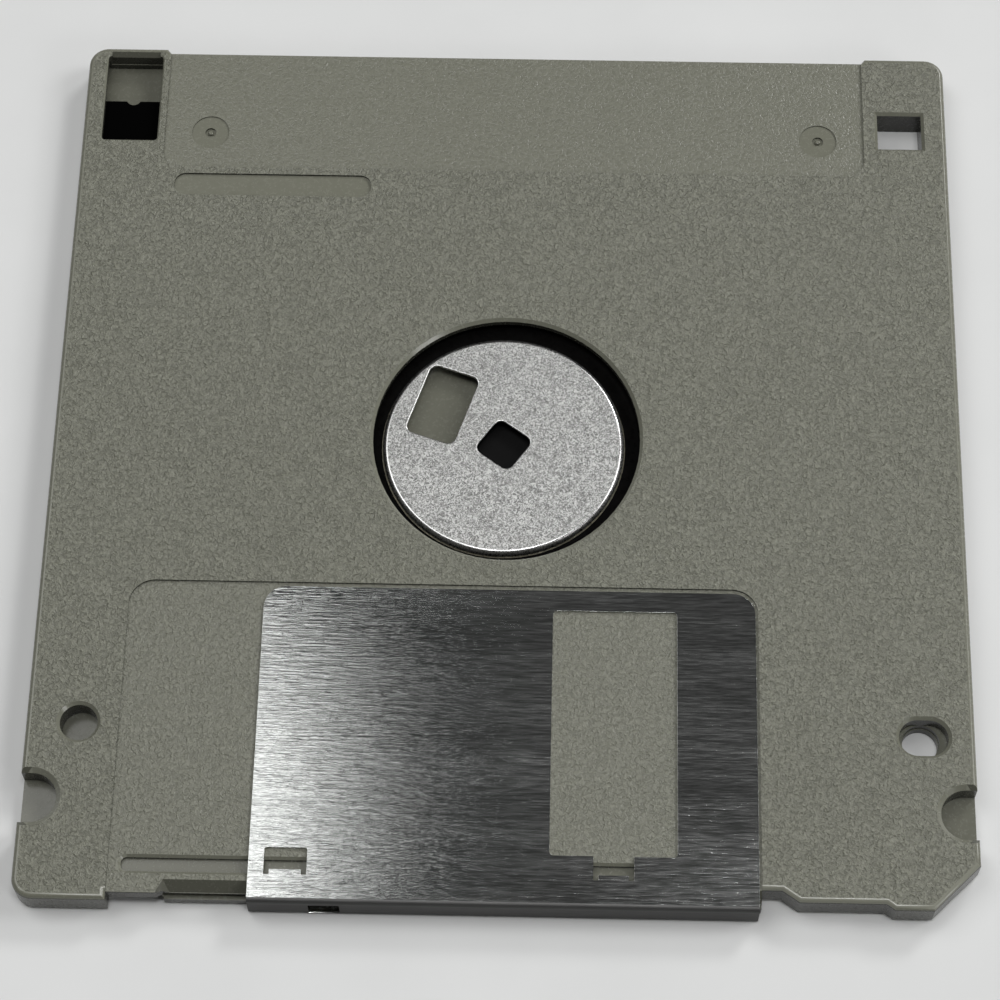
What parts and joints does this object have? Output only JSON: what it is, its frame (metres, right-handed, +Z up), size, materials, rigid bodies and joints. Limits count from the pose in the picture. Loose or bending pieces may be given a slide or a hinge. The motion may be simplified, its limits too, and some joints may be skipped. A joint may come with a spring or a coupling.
{
  "type": "floppy disk",
  "caption": "Flat square magnetic disk cartridge with a spring-loaded sliding metal shutter, a turning steel hub and a sliding write-protect tab, lying hub side up.",
  "frame": {"origin": "middle of the cartridge's outline, on the label side that it lies on", "axes": "+Z up, out of the hub side; +Y from the shutter edge to the label edge; +X to the right with the shutter edge nearest"},
  "size_m": [0.09, 0.094, 0.0033],
  "materials": {
    "case_plastic": "fine spark-eroded grain, warm grey",
    "shutter_steel": "brushed along the travel",
    "spring_steel": "drawn wire",
    "tab_plastic": "black, moulded",
    "magnetic_film": "glossy dark brown-black film",
    "adhesive": "adhesive film",
    "hub_steel": "matte, finely speckled, with a bright bent rim",
    "liner_fabric": "non-woven, off-white",
    "lifter_film": "polyester leaf",
    "pad_plastic": "black, slippery"
  },
  "bodies": {
    "case": {"back_shell": "case_plastic", "front_shell": "case_plastic", "shutter_spring": "spring_steel", "back_liner": "liner_fabric", "front_liner": "liner_fabric", "liner_lifter": "lifter_film", "wear_pad": "pad_plastic"},
    "shutter_body": {"shutter": "shutter_steel"},
    "disc_body": {"hub": "hub_steel", "hub_adhesive_ring": "adhesive", "magnetic_disc": "magnetic_film"},
    "tab_body": {"write_protect_tab": "tab_plastic"}
  },
  "joints": [
    {"name": "shutter_slide", "type": "slide", "parent": "case", "child": "shutter_body", "axis": [-1, 0, 0], "range_m": [0, 0.012], "stiffness_N_per_m": 25, "springref_m": -0.016, "deforming": ["shutter_spring"]},
    {"name": "disc_spin", "type": "hinge", "parent": "case", "child": "disc_body", "pos_m": [-0.0003, 0.00115, 0.0018], "axis": [0, 0, 1], "continuous": true},
    {"name": "write_protect_slide", "type": "slide", "parent": "case", "child": "tab_body", "axis": [0, 1, 0], "range_m": [0, 0.0049]}
  ]
}
